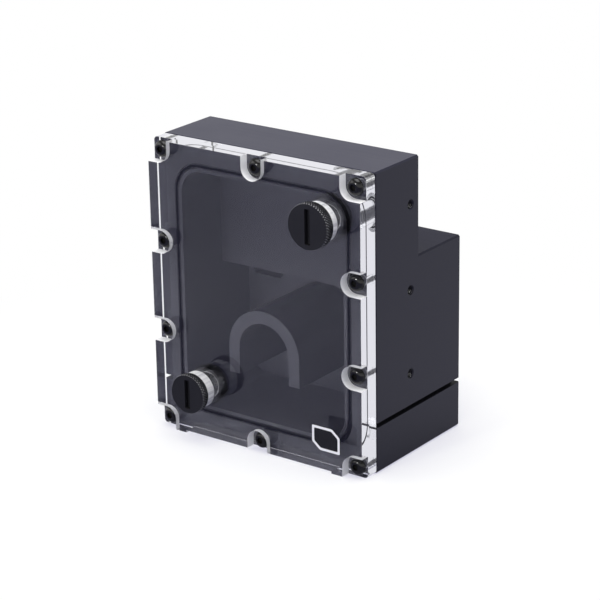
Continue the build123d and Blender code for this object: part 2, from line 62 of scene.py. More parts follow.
def makeCamera(spec):
    a, e, r = (math.radians(spec[k]) for k in ("azimuth", "elevation", "roll"))
    back = Vector((math.sin(a) * math.cos(e), -math.cos(a) * math.cos(e), math.sin(e)))
    level = Vector((math.cos(a), math.sin(a), 0))
    upright = back.cross(level)
    right = math.cos(r) * level + math.sin(r) * upright
    up = math.cos(r) * upright - math.sin(r) * level
    lens = bpy.data.cameras.new("camera")
    lens.lens, lens.sensor_width = spec["lens"], spec["sensor"]
    lens.clip_start, lens.clip_end = spec["nearest"], spec["furthest"]
    holder = bpy.data.objects.new("camera", lens)
    bpy.context.scene.collection.objects.link(holder)
    turn = Matrix((right, up, back)).transposed().to_4x4()
    holder.matrix_world = Matrix.Translation(Vector(spec["eye"]) * mm) @ turn
    bpy.context.scene.camera = holder


makeCamera(camera)
print("camera made")


# A shader socket that can be added, multiplied and so on
class Wire:
    def __init__(self, graph, socket):
        self.graph, self.socket = graph, socket

    def maths(self, operation, *terms):
        inputs = dict(enumerate(terms))
        return self.graph.node("ShaderNodeMath", {"operation": operation}, inputs)

    def __add__(self, other):
        return self.maths("ADD", self, other)

    def __radd__(self, other):
        return self.maths("ADD", other, self)

    def __sub__(self, other):
        return self.maths("SUBTRACT", self, other)

    def __rsub__(self, other):
        return self.maths("SUBTRACT", other, self)

    def __mul__(self, other):
        return self.maths("MULTIPLY", self, other)

    def __rmul__(self, other):
        return self.maths("MULTIPLY", other, self)

    def __pow__(self, other):
        return self.maths("POWER", self, other)

    def __abs__(self):
        return self.maths("ABSOLUTE", self)

    def above(self, other):
        return self.maths("GREATER_THAN", self, other)

    def atMost(self, other):
        return self.maths("MINIMUM", self, other)


class Graph:
    def __init__(self, tree):
        self.tree = tree
        tree.nodes.clear()

    # any node: its settings come first, then the values or links of its sockets
    def node(self, kind, settings=None, inputs=None, output=0):
        made = self.tree.nodes.new(kind)
        for key, value in (settings or {}).items():
            setattr(made, key, value)
        for key, value in (inputs or {}).items():
            if isinstance(value, Wire):
                self.tree.links.new(value.socket, made.inputs[key])
            else:
                made.inputs[key].default_value = value
        return Wire(self, made.outputs[output]) if made.outputs else made

    def coordinate(self, kind):
        return self.node("ShaderNodeTexCoord", output=kind)

    def along(self, vector, axis):
        return self.node("ShaderNodeSeparateXYZ", None, {0: vector}, axis)

    def vectorMaths(self, operation, *terms):
        inputs = dict(enumerate(terms))
        return self.node("ShaderNodeVectorMath", {"operation": operation}, inputs, "Value")

    def ray(self, kind):
        return self.node("ShaderNodeLightPath", output=kind)

    def noise(self, vector, scale, detail=2.0):
        sockets = {"Vector": vector, "Scale": scale, "Detail": detail}
        return self.node("ShaderNodeTexNoise", None, sockets, "Fac")

    def stretch(self, vector, scale):
        return self.node("ShaderNodeMapping", None, {"Vector": vector, "Scale": scale})

    def colour(self, value):
        return value if isinstance(value, Wire) else (*value, 1)

    def between(self, factor, dark, light):
        sockets = {"Factor": factor, 6: self.colour(dark), 7: self.colour(light)}
        return self.node("ShaderNodeMix", {"data_type": "RGBA"}, sockets, 2)

    def ramp(self, value, start, end):
        sockets = {"Value": value, "From Min": start, "From Max": end}
        return self.node("ShaderNodeMapRange", {"interpolation_type": "SMOOTHSTEP"}, sockets)

    def bump(self, height, strength, distance):
        sockets = {"Height": height, "Strength": strength, "Distance": distance}
        return self.node("ShaderNodeBump", None, sockets)

    def principled(self, sockets):
        return self.node("ShaderNodeBsdfPrincipled", None, sockets)

    def glow(self, sockets):
        return self.node("ShaderNodeEmission", None, sockets)

    def mixed(self, factor, first, second):
        return self.node("ShaderNodeMixShader", None, {0: factor, 1: first, 2: second})

    def surface(self, shader):
        self.node("ShaderNodeOutputMaterial", None, {"Surface": shader})


def newMaterial(name):
    material = bpy.data.materials.new(name)
    material.use_nodes = True
    return material, Graph(material.node_tree)


# Satin black over a blasted grain far finer than a pixel, with faint lines along the cutter's path.
# Where heights and widths are given, the first has none of the effect and the second all of it.
anodised = {
    "black": ((0.0082, 0.0082, 0.0108), (0.0128, 0.0128, 0.0168)),
    "tint": (0.77, 0.77, 1.0, 1),
    "gloss": 1.42,
    # chamber and the flange behind the cover: painted reflection, a paler colour in place of the haze
    # that the cover mirrors over them, paler still low down; and rougher
    "chamberAcross": (0.061, 0.055),
    "chamberBottom": (0.002, 0.008),
    "chamberTop": (0.148, 0.142),
    "lowChamber": (0.11, 0.06),
    "chamber": ((0.004, 0.004, 0.005), (0.03, 0.03, 0.034)),
    "chamberRoughness": 0.15,
    # faces that look up: bluer, as a painted reflection tint, and duller on the ledge, as painted
    # shade
    "topReflectionTint": (0.0105, 0.0105, 0.031),
    "reflectionTintAbove": (0.092, 0.107),
    "ledgeShadeBelow": (0.13, 0.11),
    "ledgeShadeGloss": 1.13,
    "cloud": 38,
    "lines": (14, 420, 420),
}


def blackAnodised(spec):
    material, g = newMaterial("blackAnodised")
    place, normal = g.coordinate("Object"), g.coordinate("Normal")
    height = g.along(place, "Z")
    upward = g.along(normal, "Z")
    # painted reflection: faces of the chamber and flange that do not look back get a paler colour,
    # standing in for the haze the cover mirrors over them
    across = g.ramp(abs(g.along(place, "X")), *spec["chamberAcross"])
    between = g.ramp(height, *spec["chamberBottom"]) * g.ramp(height, *spec["chamberTop"])
    ledge = g.ramp(height, 0.04, 0.06) * g.ramp(upward, 0.2, 0.6)
    inside = across * between * g.ramp(g.along(normal, "Y"), 0.5, 0.1) * (1.0 - ledge)
    cloud = g.noise(place, spec["cloud"], 3.0)
    lines = g.noise(g.stretch(place, spec["lines"]), 1.0, 2.0)
    black = g.between(cloud * 0.7 + lines * 0.3, *spec["black"])
    top = g.ramp(upward, 0.5, 0.9)
    # painted reflection tint: upward faces high on the housing get a bluer black
    black = g.between(top * g.ramp(height, *spec["reflectionTintAbove"]), black, spec["topReflectionTint"])
    # the painted reflection's colour, paler low down
    chamber = g.between(g.ramp(height, *spec["lowChamber"]), *spec["chamber"])
    # a lit copy and a painted-shade copy with a weaker reflection; the shaded one covers upward faces
    # low on the housing, the ledge under the upper block
    bright, shadedLedge = (g.principled({
        "Base Color": g.between(inside, black, chamber),
        "Roughness": 0.34 + cloud * 0.06 + lines * 0.05 + inside * spec["chamberRoughness"],
        "IOR": gloss,
        "Specular Tint": spec["tint"],
        "Normal": g.bump(lines, 0.05, 0.00001),
    }) for gloss in (spec["gloss"], spec["ledgeShadeGloss"]))
    g.surface(g.mixed(g.ramp(height, *spec["ledgeShadeBelow"]) * top, bright, shadedLedge))
    return material


# The cover's polished faces. They let the lamps' light through, and a ray that has already bounced
# three times between them meets a painted glow, in place of the light that the sheet pipes to its
# edges.
acrylic = {
    "clear": (0.985, 0.99, 1.0, 1),
    "ior": 1.49,
    "tint": (0.9, 0.9, 1.0, 1),
    "pipedGlow": (0.86, 0.86, 0.92, 1),
    "pipedStrength": 0.9,
    "shadow": (0.93, 0.93, 0.96, 1),
}


def polishedAcrylic(spec):
    material, g = newMaterial("clearAcrylic")
    clear = g.principled({
        "Base Color": spec["clear"],
        "Roughness": 0.0,
        "IOR": spec["ior"],
        "Specular Tint": spec["tint"],
        "Transmission Weight": 1.0,
    })
    # painted glow on the acrylic, standing in for light piped along the sheet
    pipedGlow = g.glow({"Color": spec["pipedGlow"], "Strength": spec["pipedStrength"]})
    through = g.node("ShaderNodeBsdfTransparent", None, {"Color": spec["shadow"]})
    lit = g.mixed(g.ray("Glossy Depth").above(2.5), clear, pipedGlow)
    g.surface(g.mixed(g.ray("Is Shadow Ray"), lit, through))
    material.cycles.emission_sampling = "NONE"
    return material


# Its sawn and milled faces: white frost with the cutter's faint lines
def milledAcrylic(spec):
    material, g = newMaterial("milledAcrylic")
    lines = g.noise(g.stretch(g.coordinate("Object"), (900, 60, 900)), 1.0, 2.0)
    g.surface(g.principled({
        "Base Color": g.between(lines, (0.92, 0.92, 0.94), (1.0, 1.0, 1.0)),
        "Roughness": 0.42 + lines * 0.2,
        "IOR": spec["ior"],
        "Transmission Weight": 0.22,
        "Normal": g.bump(lines, 0.3, 0.00004),
    }))
    return material


# A finish with a little cloud in its colour and gloss, and a fine grain
def plainFinish(name, colour, roughness, metallic=0.0, grain=2500.0, depth=0.00001, change=0.2,
                ior=1.5):
    material, g = newMaterial(name)
    place = g.coordinate("Object")
    cloud = g.noise(place, 140, 3.0)
    fine = g.noise(place, grain, 1.0)
    dark = tuple(c * (1 - change) for c in colour)
    light = tuple(min(1.0, c * (1 + change)) for c in colour)
    g.surface(g.principled({
        "Base Color": g.between(cloud, dark, light),
        "Roughness": roughness * 0.8 + cloud * (roughness * 0.4),
        "Metallic": metallic,
        "IOR": ior,
        "Normal": g.bump(fine, 0.3, depth),
    }))
    return material


# Satin plating on a turned ring, with painted sheen: streaks that run along its axis change with its
# normal alone, in place of the ring's reflection bands
def turnedNickel():
    material, g = newMaterial("nickelPlate")
    sheenBands = g.noise(g.stretch(g.coordinate("Normal"), (5, 0.5, 5)), 1.0, 3.0)
    grooves = g.noise(g.stretch(g.coordinate("Object"), (40, 3000, 40)), 1.0, 1.0)
    # painted sheen from the normal's streaks, plus the grooves' real tone
    sheenAndGrooveTone = (sheenBands - 0.36) * 4.0 + (grooves - 0.5) * 0.3
    g.surface(g.principled({
        "Base Color": g.between(sheenAndGrooveTone, (0.55, 0.55, 0.58), (1.0, 1.0, 1.0)),
        "Roughness": 0.3 + grooves * 0.15,
        "Metallic": 0.12,
        "Normal": g.bump(grooves, 0.3, 0.000005),
    }))
    return material


# Side holes, whose threads carry a painted glint: bright bare steel where they face up and to the
# front, toward the lamps, and black elsewhere
def threadSteel():
    material, g = newMaterial("threadSteel")
    # painted glint where the threads face the front and top lamps
    facing = g.vectorMaths("DOT_PRODUCT", g.coordinate("Normal"), (0, -0.65, 0.75))
    glint = g.ramp(facing, 0.74, 0.84)
    g.surface(g.principled({
        "Base Color": g.between(glint, (0.006, 0.006, 0.007), (0.8, 0.8, 0.82)),
        "Metallic": glint,
        "Roughness": 0.25 + glint * 0.05,
    }))
    return material


# Screws, smooth and black
def blackOxide():
    material, g = newMaterial("blackOxide")
    cloud = g.noise(g.coordinate("Object"), 300, 2.0)
    g.surface(g.principled({
        "Base Color": g.between(cloud, (0.004, 0.004, 0.004), (0.007, 0.0065, 0.006)),
        "Roughness": 0.06 + cloud * 0.05,
        "IOR": 1.46,
    }))
    return material


# Black plugs: a satin face, glossier where the knurling has pressed the metal, and bare on its
# crests, partly wear and partly a painted sparkle of the lamps
def plugBlack():
    material, g = newMaterial("blackPlugFinish")
    place = g.coordinate("Object")
    flat = g.along(g.coordinate("Normal"), "Y") ** 4.0
    cloud = g.noise(place, 140, 3.0)
    # the crests' wear and painted sparkle of the lamps
    crestWearAndSparkle = g.node("ShaderNodeAttribute", {"attribute_name": "crestWearAndSparkle"}, output="Fac")
    black = g.between(cloud, (0.012, 0.012, 0.0135), (0.016, 0.016, 0.0185))
    g.surface(g.principled({
        "Base Color": g.between(crestWearAndSparkle, black, (0.75, 0.75, 0.78)),
        "Metallic": crestWearAndSparkle,
        "Roughness": 0.13 + flat * 0.2 + cloud * 0.06,
        "IOR": 1.3,
        "Specular Tint": (0.9, 0.9, 1.0, 1),
        "Normal": g.bump(g.noise(place, 2500, 1.0), 0.3, 0.00001),
    }))
    return material


finishes = {
    "black_anodised": blackAnodised(anodised),
    "clear_acrylic": polishedAcrylic(acrylic),
    "seal_rubber": plainFinish("sealRubber", (0.004, 0.004, 0.006), 0.5, ior=1.12),
    "black_screw": blackOxide(),
    "nickel": turnedNickel(),
    "black_plug": plugBlack(),
    "stainless_steel": plainFinish("stainlessSteel", (0.6, 0.6, 0.61), 0.3, 1.0),
    "ceramic": plainFinish("ceramic", (0.85, 0.85, 0.82), 0.1, 0.0, 1500, 0.000002, 0.03),
    "magnet": plainFinish("sinteredMagnet", (0.05, 0.05, 0.055), 0.6),
    "impeller_plastic": plainFinish("impellerPlastic", (0.03, 0.03, 0.033), 0.4),
    "stator_steel": plainFinish("laminatedSteel", (0.4, 0.4, 0.42), 0.4, 1.0),
    "copper": plainFinish("enamelledCopper", (0.65, 0.26, 0.1), 0.3, 1.0),
    "board": plainFinish("solderMask", (0.02, 0.12, 0.05), 0.35),
    "pump_plastic": plainFinish("mouldedNylon", (0.02, 0.02, 0.022), 0.45, 0.0, 1600, 0.00003),
}
milled = milledAcrylic(acrylic)
glintThread = threadSteel()
whitePrint = plainFinish("whitePrint", (0.85, 0.85, 0.87), 0.4, change=0.03)
for entry in frame["record"]["subparts"]:
    slots = nodes[entry["node"]].data.materials
    slots.clear()
    slots.append(finishes[entry["material_slot"]])
print("materials made")


def soleMaterial(piece, material):
    piece.data.materials.clear()
    piece.data.materials.append(material)


# Merge the doubles, turn every face outwards, shade smooth but for sharp corners, and place it
def finishPiece(name, mesh, slot, body, replaced, sharp):
    work = bmesh.new()
    work.from_mesh(mesh)
    bmesh.ops.remove_doubles(work, verts=work.verts, dist=2e-6)
    bmesh.ops.dissolve_degenerate(work, edges=work.edges, dist=1e-7)
    bmesh.ops.recalc_face_normals(work, faces=work.faces)
    work.to_mesh(mesh)
    work.free()
    mesh.polygons.foreach_set("use_smooth", np.ones(len(mesh.polygons), bool))
    mesh.set_sharp_from_angle(angle=math.radians(sharp))
    mesh.materials.append(finishes[slot])
    piece = bpy.data.objects.new(name, mesh)
    bpy.context.scene.collection.objects.link(piece)
    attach(piece, body)
    if replaced:
        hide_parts(replaced)
    return piece


# One object from grids of points in mm, of rows and columns, whose columns join up into rings
def makePiece(name, grids, slot, body, replaced=None, sharp=32, crestWearAndSparkle=None):
    points, faces, count = [], [], 0
    for grid in grids:
        rows, columns = grid.shape[:2]
        r, c = np.meshgrid(np.arange(rows - 1), np.arange(columns), indexing="ij")
        n = (c + 1) % columns
        corners = (r * columns + c, r * columns + n, (r + 1) * columns + n, (r + 1) * columns + c)
        faces.append(np.stack(corners, -1).reshape(-1, 4) + count)
        points.append(grid.reshape(-1, 3))
        count += rows * columns
    mesh = bpy.data.meshes.new(name)
    mesh.from_pydata((np.concatenate(points) * mm).tolist(), [], np.concatenate(faces).tolist())
    # the knurl crests' wear and painted sparkle, kept as a point attribute
    if crestWearAndSparkle is not None:
        mesh.attributes.new("crestWearAndSparkle", "FLOAT", "POINT").data.foreach_set("value", crestWearAndSparkle.ravel())
    return finishPiece(name, mesh, slot, body, replaced, sharp)


# Angles of a ring's points
def ringAngles(count):
    return np.arange(count) / count * 2 * math.pi


# Rows of points at radius r and depth y round an axis along Y, where r may change with the angle
def rings(r, y, angles, x, z):
    r = np.asarray(r, float).reshape(len(r), -1) + 0 * angles
    y = np.asarray(y, float).reshape(len(y), -1) + 0 * angles
    return np.stack([x + r * np.cos(angles), y, z + r * np.sin(angles)], -1)


# The same from a list of radius and depth
def turned(profile, angles, x, z):
    r, y = np.array(profile, float).T
    return rings(r, y, angles, x, z)


# A quarter round in a profile
def corner(centre, radius, start, end, steps=5):
    t = np.radians(np.linspace(start, end, steps))
    return [(centre[0] + radius * np.cos(a), centre[1] + radius * np.sin(a)) for a in t]


# The angles of four quarter rounds, one after the other, with steps points in each
def fourQuarters(steps):
    quarter = np.radians(np.linspace(0, 90, steps))
    return np.concatenate([quarter + math.radians(first) for first in (0, 90, 180, 270)])


# Outline of a rounded rectangle, walked at even length from its right middle, count points in all
def slotOutline(count, length, width, radius, steps=9):
    w, h = width / 2 - radius, length / 2 - radius
    turn = fourQuarters(steps)
    x = np.repeat([w, -w, -w, w], steps) + radius * np.cos(turn)
    z = np.repeat([h, h, -h, -h], steps) + radius * np.sin(turn)
    middle = x[:1]
    x = np.concatenate([middle, x, middle])
    z = np.concatenate([[0.0], z, [0.0]])
    walked = np.concatenate([[0], np.cumsum(np.hypot(np.diff(x), np.diff(z)))])
    at = np.arange(count) / count * walked[-1]
    return np.interp(at, walked, x), np.interp(at, walked, z)


# Fill and drain plugs: diamond-knurled heads with a coin slot, on a threaded stem
plugShape = {
    "columns": 432,
    "toothWidth": 1.4,
    "toothClimb": 1.4,  # along the head, for each tooth width round it
    "knurlDepth": 0.55,
    "knurlRows": 25,
    "rim": 0.45,
    "slotWidth": 3.0,
    "slotDepth": 2.2,
    "slotCorner": 0.5,
    "slotLip": 0.15,
    "stem": 4.86,
    "tipRound": 0.9,
    "threadDepth": 0.45,
    "threadRows": 64,
    "pitch": 0.907,
    "turns": 6,
    "recess": 6.56,
    "recessDepth": 1.2,
    "sharp": 28,
}
plugs = {
    "fill_plug": {
        "x": 40.0, "z": 126.0, "seat": -53.5, "radius": 11.4, "height": 5.4, "slot": 17.2,
    },
    "drain_plug": {
        "x": -35.0, "z": 26.0, "seat": -54.1, "radius": 10.2, "height": 4.4, "slot": 15.0,
    },
}


def makePlug(node, spec, shape):
    angles = ringAngles(shape["columns"])
    x, z, seat, radius = spec["x"], spec["z"], spec["seat"], spec["radius"]
    inner = radius - shape["rim"]
    front = seat - spec["height"]
    end = seat + shape["turns"] * shape["pitch"]

    # thread: r = crest - depth * ramp of (turns along the stem - share of a turn round it)
    y = np.linspace(end, seat, shape["threadRows"])[:, None]
    phase = (y - end) / shape["pitch"] - angles / (2 * math.pi)
    ramp = np.clip(np.abs(phase % 1 - 0.5) * 2.6 - 0.4, 0, 1)
    stem = rings(shape["stem"] - shape["threadDepth"] * ramp, y, angles, x, z)
    tip = turned([(0, end), (shape["stem"] - shape["tipRound"], end)], angles, x, z)
    bottom = seat - shape["recessDepth"]
    recess = [(shape["stem"], bottom), (shape["recess"], bottom), (shape["recess"], seat)]
    recess += [(inner, seat)]

    # knurl: r = R - depth * the higher of two ramps that climb round the head in opposite ways
    y = np.linspace(seat - shape["rim"], front + shape["rim"], shape["knurlRows"])[:, None]
    teeth = round(2 * math.pi * radius / shape["toothWidth"])
    around = teeth * angles / (2 * math.pi)
    climb = (y - seat) / (shape["toothClimb"] * shape["toothWidth"])
    one = np.abs((around + climb) % 1 - 0.5) * 2
    two = np.abs((around - climb) % 1 - 0.5) * 2
    depth = shape["knurlDepth"] * np.clip(1.15 * np.maximum(one, two) - 0.15, 0, 1)
    side = rings(radius - depth, y, angles, x, z)
    # wear and painted sparkle: 1 - 4 * share of the knurl's depth, none at the face's edge and less
    # towards the seat, away from the lamps' highlight
    crestWearSparkle = np.clip(1 - 4.0 * depth / shape["knurlDepth"], 0, 1)
    crestWearSparkle = crestWearSparkle * np.clip((y - front) / 0.5, 0, 1) * np.clip(2.0 - 0.8 * (y - front), 0, 1)

    # face: rings that go over from the head's circle to the slot's outline
    sx, sz = slotOutline(shape["columns"], spec["slot"], shape["slotWidth"], shape["slotCorner"])
    share = np.array([0.0, 0.02, 0.15, 0.4, 0.7, 0.93, 0.985])[:, None]
    fx = (1 - share) * inner * np.cos(angles) + share * sx
    fz = (1 - share) * inner * np.sin(angles) + share * sz
    face = np.stack([fx + x, 0 * fx + front, fz + z], -1)

    # slot: a small lip, its wall, and a floor that closes on its middle line
    lip, floor = front + shape["slotLip"], front + shape["slotDepth"]
    reach = (spec["slot"] - shape["slotWidth"]) / 2
    rows = [(sx, lip, sz), (sx, floor, sz), (0 * sx, floor, np.clip(sz, -reach, reach))]
    slot = np.stack([np.stack([a + x, 0 * a + b, c + z], -1) for a, b, c in rows])
    before = np.concatenate([tip, stem, turned(recess, angles, x, z)])
    after = np.concatenate([face, slot])
    crestWearAndSparkle = np.concatenate([np.zeros(before.shape[:2]), crestWearSparkle, np.zeros(after.shape[:2])])
    grid = np.concatenate([before, side, after])
    return makePiece(node + "_knurled", [grid], "black_plug", node, node, shape["sharp"], crestWearAndSparkle)


for plugNode, plugSpec in plugs.items():
    makePlug(plugNode, plugSpec, plugShape)
print("plugs made")


# Collars: a polished ring between the cover and the head, a stem in the cover and a bore
collarShape = {
    "columns": 128,
    "cover": -48.6,
    "round": 0.35,
    "stem": 6.58,
    "stemEnd": -37.6,
    "stemRound": 0.3,
    "bore": 4.95,
    "boreRound": 0.25,
    "recess": 1.5,
    "recessDepth": 1.2,
}
collars = {
    "fill_port_collar": {"x": 40.0, "z": 126.0, "radius": 10.0, "front": -53.5},
    "drain_port_collar": {"x": -35.0, "z": 26.0, "radius": 9.3, "front": -54.1},
}


def makeCollar(node, spec, shape):
    angles = ringAngles(shape["columns"])
    x, z, radius, front, edge = spec["x"], spec["z"], spec["radius"], spec["front"], shape["round"]
    back, stem, end, bore = shape["cover"], shape["stem"], shape["stemEnd"], shape["bore"]
    bottom, small, lip = back - shape["recessDepth"], shape["stemRound"], shape["boreRound"]
    profile = [(bore, end), (stem - small, end), (stem, end - small), (stem, bottom)]
    profile += [(stem + shape["recess"], bottom), (stem + shape["recess"], back)]
    profile += corner((radius - edge, back - edge), edge, 90, 0)
    profile += corner((radius - edge, front + edge), edge, 0, -90)
    profile += [(bore + lip, front), (bore, front + lip), (bore, end)]
    grid = turned(profile, angles, x, z)
    piece = makePiece(node + "_turned", [grid], "nickel", "body", node)
    # the stem in the cover is left black, and the bore too
    piece.data.materials.append(finishes["black_plug"])
    for face in piece.data.polygons:
        off = math.hypot(face.center.x / mm - x, face.center.z / mm - z)
        face.material_index = int(face.center.y > (back + 0.2) * mm or off < bore + 0.1)
    return piece


for collarNode, collarSpec in collars.items():
    makeCollar(collarNode, collarSpec, collarShape)
print("collars made")


# Cover screws: domed heads with a hexagon socket
screws = {
    "columns": 72,
    "x": 57.0,
    "rows": (5.5, 51.83, 98.17, 144.5),
    "seat": -43.6,
    "head": 4.25,
    "height": 2.75,
    "rim": 0.4,
    "rimRound": 0.15,
    "flat": 1.9,
    "socket": 1.5,
    "socketDepth": 1.6,
    "shank": 2.5,
    "shankRound": 0.4,
    "length": 16.0,
}
screwPlaces = [(side * screws["x"], z) for z in screws["rows"] for side in (-1, 1)]
screwPlaces += [(0, screws["rows"][0]), (0, screws["rows"][-1])]


def makeScrews(name, spec, places):
    angles = ringAngles(spec["columns"])
    seat, head, shank, small = spec["seat"], spec["head"], spec["shank"], spec["shankRound"]
    end, top = seat + spec["length"], seat - spec["height"]
    floor = top + spec["socketDepth"]
    profile = [(0, end), (shank - small, end), (shank, end - small), (shank, seat)]
    profile += [(head - spec["rimRound"], seat), (head, seat - spec["rimRound"])]
    # dome: a quarter ellipse from the rim to the flat round the socket
    for t in np.radians(np.linspace(0, 90, 10)):
        lift = (spec["height"] - spec["rim"]) * math.sin(t)
        out = spec["flat"] + (head - spec["flat"]) * math.cos(t)
        profile.append((out, seat - spec["rim"] - lift))
    dome = turned(profile, angles, 0, 0)
    # socket: r = half the width across flats / cos(angle from the middle of the flat)
    flats = spec["socket"] / np.cos(angles % (math.pi / 3) - math.pi / 6)
    rows = np.array([[1.0], [1.0], [0.0]]) * flats
    socket = rings(rows, [top, floor, floor + 0.4], angles, 0, 0)
    grid = np.concatenate([dome, socket])
    grids = [grid + np.array([x, 0, z]) for x, z in places]
    return makePiece(name, grids, "black_screw", "body", "cover_screws")


makeScrews("cover_button_screws", screws, screwPlaces)
print("screws made")


# Cord seal: a round cord along a rounded rectangle, pressed flat by the cover and the groove
sealCord = {
    "halfWidth": 50.9,
    "halfHeight": 63.4,
    "centre": 75.0,
    "corner": 14.5,
    "back": -35.0,
    "front": -36.63,
    "thickness": 1.1,
    "pressed": 1.15,
}


def makeSeal(name, spec):
    # path: four quarter circles whose ends join by straights
    steps = 25
    w, h, r = spec["halfWidth"], spec["halfHeight"], spec["corner"]
    turn = fourQuarters(steps)
    cx = np.repeat([w - r, r - w, r - w, w - r], steps)
    cz = np.repeat([h - r, h - r, r - h, r - h], steps)
    out = np.stack([np.cos(turn), np.sin(turn)], -1)
    path = np.stack([cx, cz], -1) + r * out
    # section: a circle whose front and back are cut flat
    t = ringAngles(24)
    across = spec["thickness"] * np.cos(t)
    half, middle = (spec["back"] - spec["front"]) / 2, (spec["back"] + spec["front"]) / 2
    along = middle + half * np.clip(spec["pressed"] * np.sin(t), -1, 1)
    place = path + across[:, None, None] * out
    x, z = place[..., 0], place[..., 1] + spec["centre"]
    grid = np.stack([x, along[:, None] + 0 * turn, z], -1)
    closed = np.concatenate([grid, grid[:1]])
    return makePiece(name, [closed], "seal_rubber", "body", "cover_seal", 60)


makeSeal("cover_cord_seal", sealCord)
print("seal made")


# Threads: a ridge that winds along each tapped hole, thinner towards its ends
threads = {
    "side_hole_threads": {
        "holes": [((s * 62.0, -7.2, z), (-s, 0, 0)) for s in (-1, 1) for z in (42.0, 84.6, 127.2)],
        "radius": 2.12,
        "depth": 0.32,
        "pitch": 0.8,
        "turns": 11,
        "slot": "stainless_steel",
    },
    "ledge_port_threads": {
        "holes": [((x, 24.0, 100.0), (0, 0, -1)) for x in (-35.5, 17.2)],
        "radius": 5.92,
        "depth": 0.5,
        "pitch": 1.337,
        "turns": 8,
        "slot": "black_anodised",
    },
}
ridge = {
    "high": (0.08, -1.0, -1.0, 0.08),  # of the depth
    "along": (-0.36, -0.07, 0.07, 0.36),  # of the pitch
    "stepsPerTurn": 40,
}


def makeThreads(name, spec, section):
    # ridge: radius + depth * section height, and the winding's lead + pitch * section place
    steps = spec["turns"] * section["stepsPerTurn"] + 1
    t = np.linspace(0, spec["turns"] * 2 * math.pi, steps)[:, None]
    fade = np.clip(np.minimum(t, t[-1] - t) / math.pi, 0.02, 1)
    high = np.array(section["high"]) * spec["depth"] * fade
    lead = spec["pitch"] * t / (2 * math.pi)
    along = np.array(section["along"]) * spec["pitch"] * fade + lead
    grids = []
    for start, axis in spec["holes"]:
        axis = np.array(axis, float)
        side = np.array([0, 1, 0]) if axis[1] == 0 else np.array([1, 0, 0])
        up = np.cross(axis, side)
        radius = (spec["radius"] + high)[..., None]
        around = np.cos(t)[..., None] * side + np.sin(t)[..., None] * up
        grids.append(np.array(start) + radius * around + along[..., None] * axis)
    return makePiece(name, grids, spec["slot"], "body", None, 60)


for threadName, threadSpec in threads.items():
    threadPiece = makeThreads(threadName, threadSpec, ridge)
    if threadSpec["slot"] == "stainless_steel":
        soleMaterial(threadPiece, glintThread)
print("threads made")


# Badge on the cover: a plain black plate with two cut corners and a white rim
badge = {
    "corners": [(33.6, 23.4), (45.4, 23.4), (50.0, 19.6), (50.0, 10.9), (38.2, 10.9), (33.6, 14.7)],
    "round": 0.7,
    "face": -48.6,
    "gap": 0.01,
    "thickness": 0.25,
    "edge": 0.05,
    "rimInset": 0.12,
    "rimWidth": 1.25,
    "rimHeight": 0.12,
    "rimSlope": 0.03,
    "rimSunk": 0.02,
}


# The side of an edge that looks at the middle of the badge
def inward(edge, corners, middle):
    across = np.stack([-edge[:, 1], edge[:, 0]], -1)
    return across * np.sign(np.sum(across * (middle - corners), 1))[:, None]


# Path: every corner pulled in by inset, then rounded by a curve between points at radius from it
def outline(corners, inset, radius):
    corners = np.array(corners, float)
    middle = corners.mean(0)
    before, after = np.roll(corners, 1, 0), np.roll(corners, -1, 0)
    one = (corners - before) / np.linalg.norm(corners - before, axis=1)[:, None]
    two = (after - corners) / np.linalg.norm(after - corners, axis=1)[:, None]
    left, right = inward(one, corners, middle), inward(two, corners, middle)
    shift = (left + right) / (1 + np.sum(left * right, 1))[:, None]
    moved = corners + inset * shift
    s = np.linspace(0, 1, 7)[None, :, None]
    start, end = (moved - radius * one)[:, None], (moved + radius * two)[:, None]
    curve = (1 - s) ** 2 * start + 2 * s * (1 - s) * moved[:, None] + s ** 2 * end
    return curve.reshape(-1, 2)


def makeBadge(spec):
    def row(inset, y):
        path = outline(spec["corners"], inset, spec["round"])
        return np.stack([path[:, 0], 0 * path[:, 0] + y, path[:, 1]], -1)

    back, front, edge = spec["face"] - spec["gap"], spec["face"] - spec["thickness"], spec["edge"]
    middle = np.mean(spec["corners"], 0)
    centre = np.tile([middle[0], front, middle[1]], (len(row(0, 0)), 1))
    behind = centre + np.array([0, back - front, 0])
    plate = [behind, row(0, back), row(0, front + edge), row(edge, front), row(2.0, front), centre]
    makePiece("badge_plate", [np.stack(plate)], "black_plug", "body", None, 20)
    top, sunk, slope = front - spec["rimHeight"], front + spec["rimSunk"], spec["rimSlope"]
    start, end = spec["rimInset"], spec["rimInset"] + spec["rimWidth"]
    rows = [row(start, sunk), row(start + slope, top), row(end - slope, top), row(end, sunk)]
    rim = makePiece("badge_rim", [np.stack(rows + rows[:1])], "nickel", "body", None, 20)
    soleMaterial(rim, whitePrint)


makeBadge(badge)
print("badge made")


# Copies of machined nodes, merged, with a small round on every sharp edge
rounded = {
    "front_cover": {"width": 0.15, "slot": "clear_acrylic"},
    "pump_clamp_ring": {"width": 0.25, "slot": "black_anodised"},
    "motor_can": {"width": 0.3, "slot": "pump_plastic"},
    "motor_end_cap": {"width": 0.3, "slot": "pump_plastic"},
}
roundAngle = math.radians(30)
# a pocket's wall lies in front of the screws' seat, near a screw and off the cover's outline
pocketWall = {"halfWidth": 62.3, "lowest": 1.5, "highest": 149.8, "reach": 9}


def isPocketWall(face, spec):
    centre = face.calc_center_bounds() / mm
    inside = abs(centre.x) < spec["halfWidth"] and spec["lowest"] < centre.z < spec["highest"]
    nearest = min(math.hypot(centre.x - x, centre.z - z) for x, z in screwPlaces)
    across = abs(face.normal.y) < 0.1 and centre.y < screws["seat"]
    return across and inside and nearest < spec["reach"]


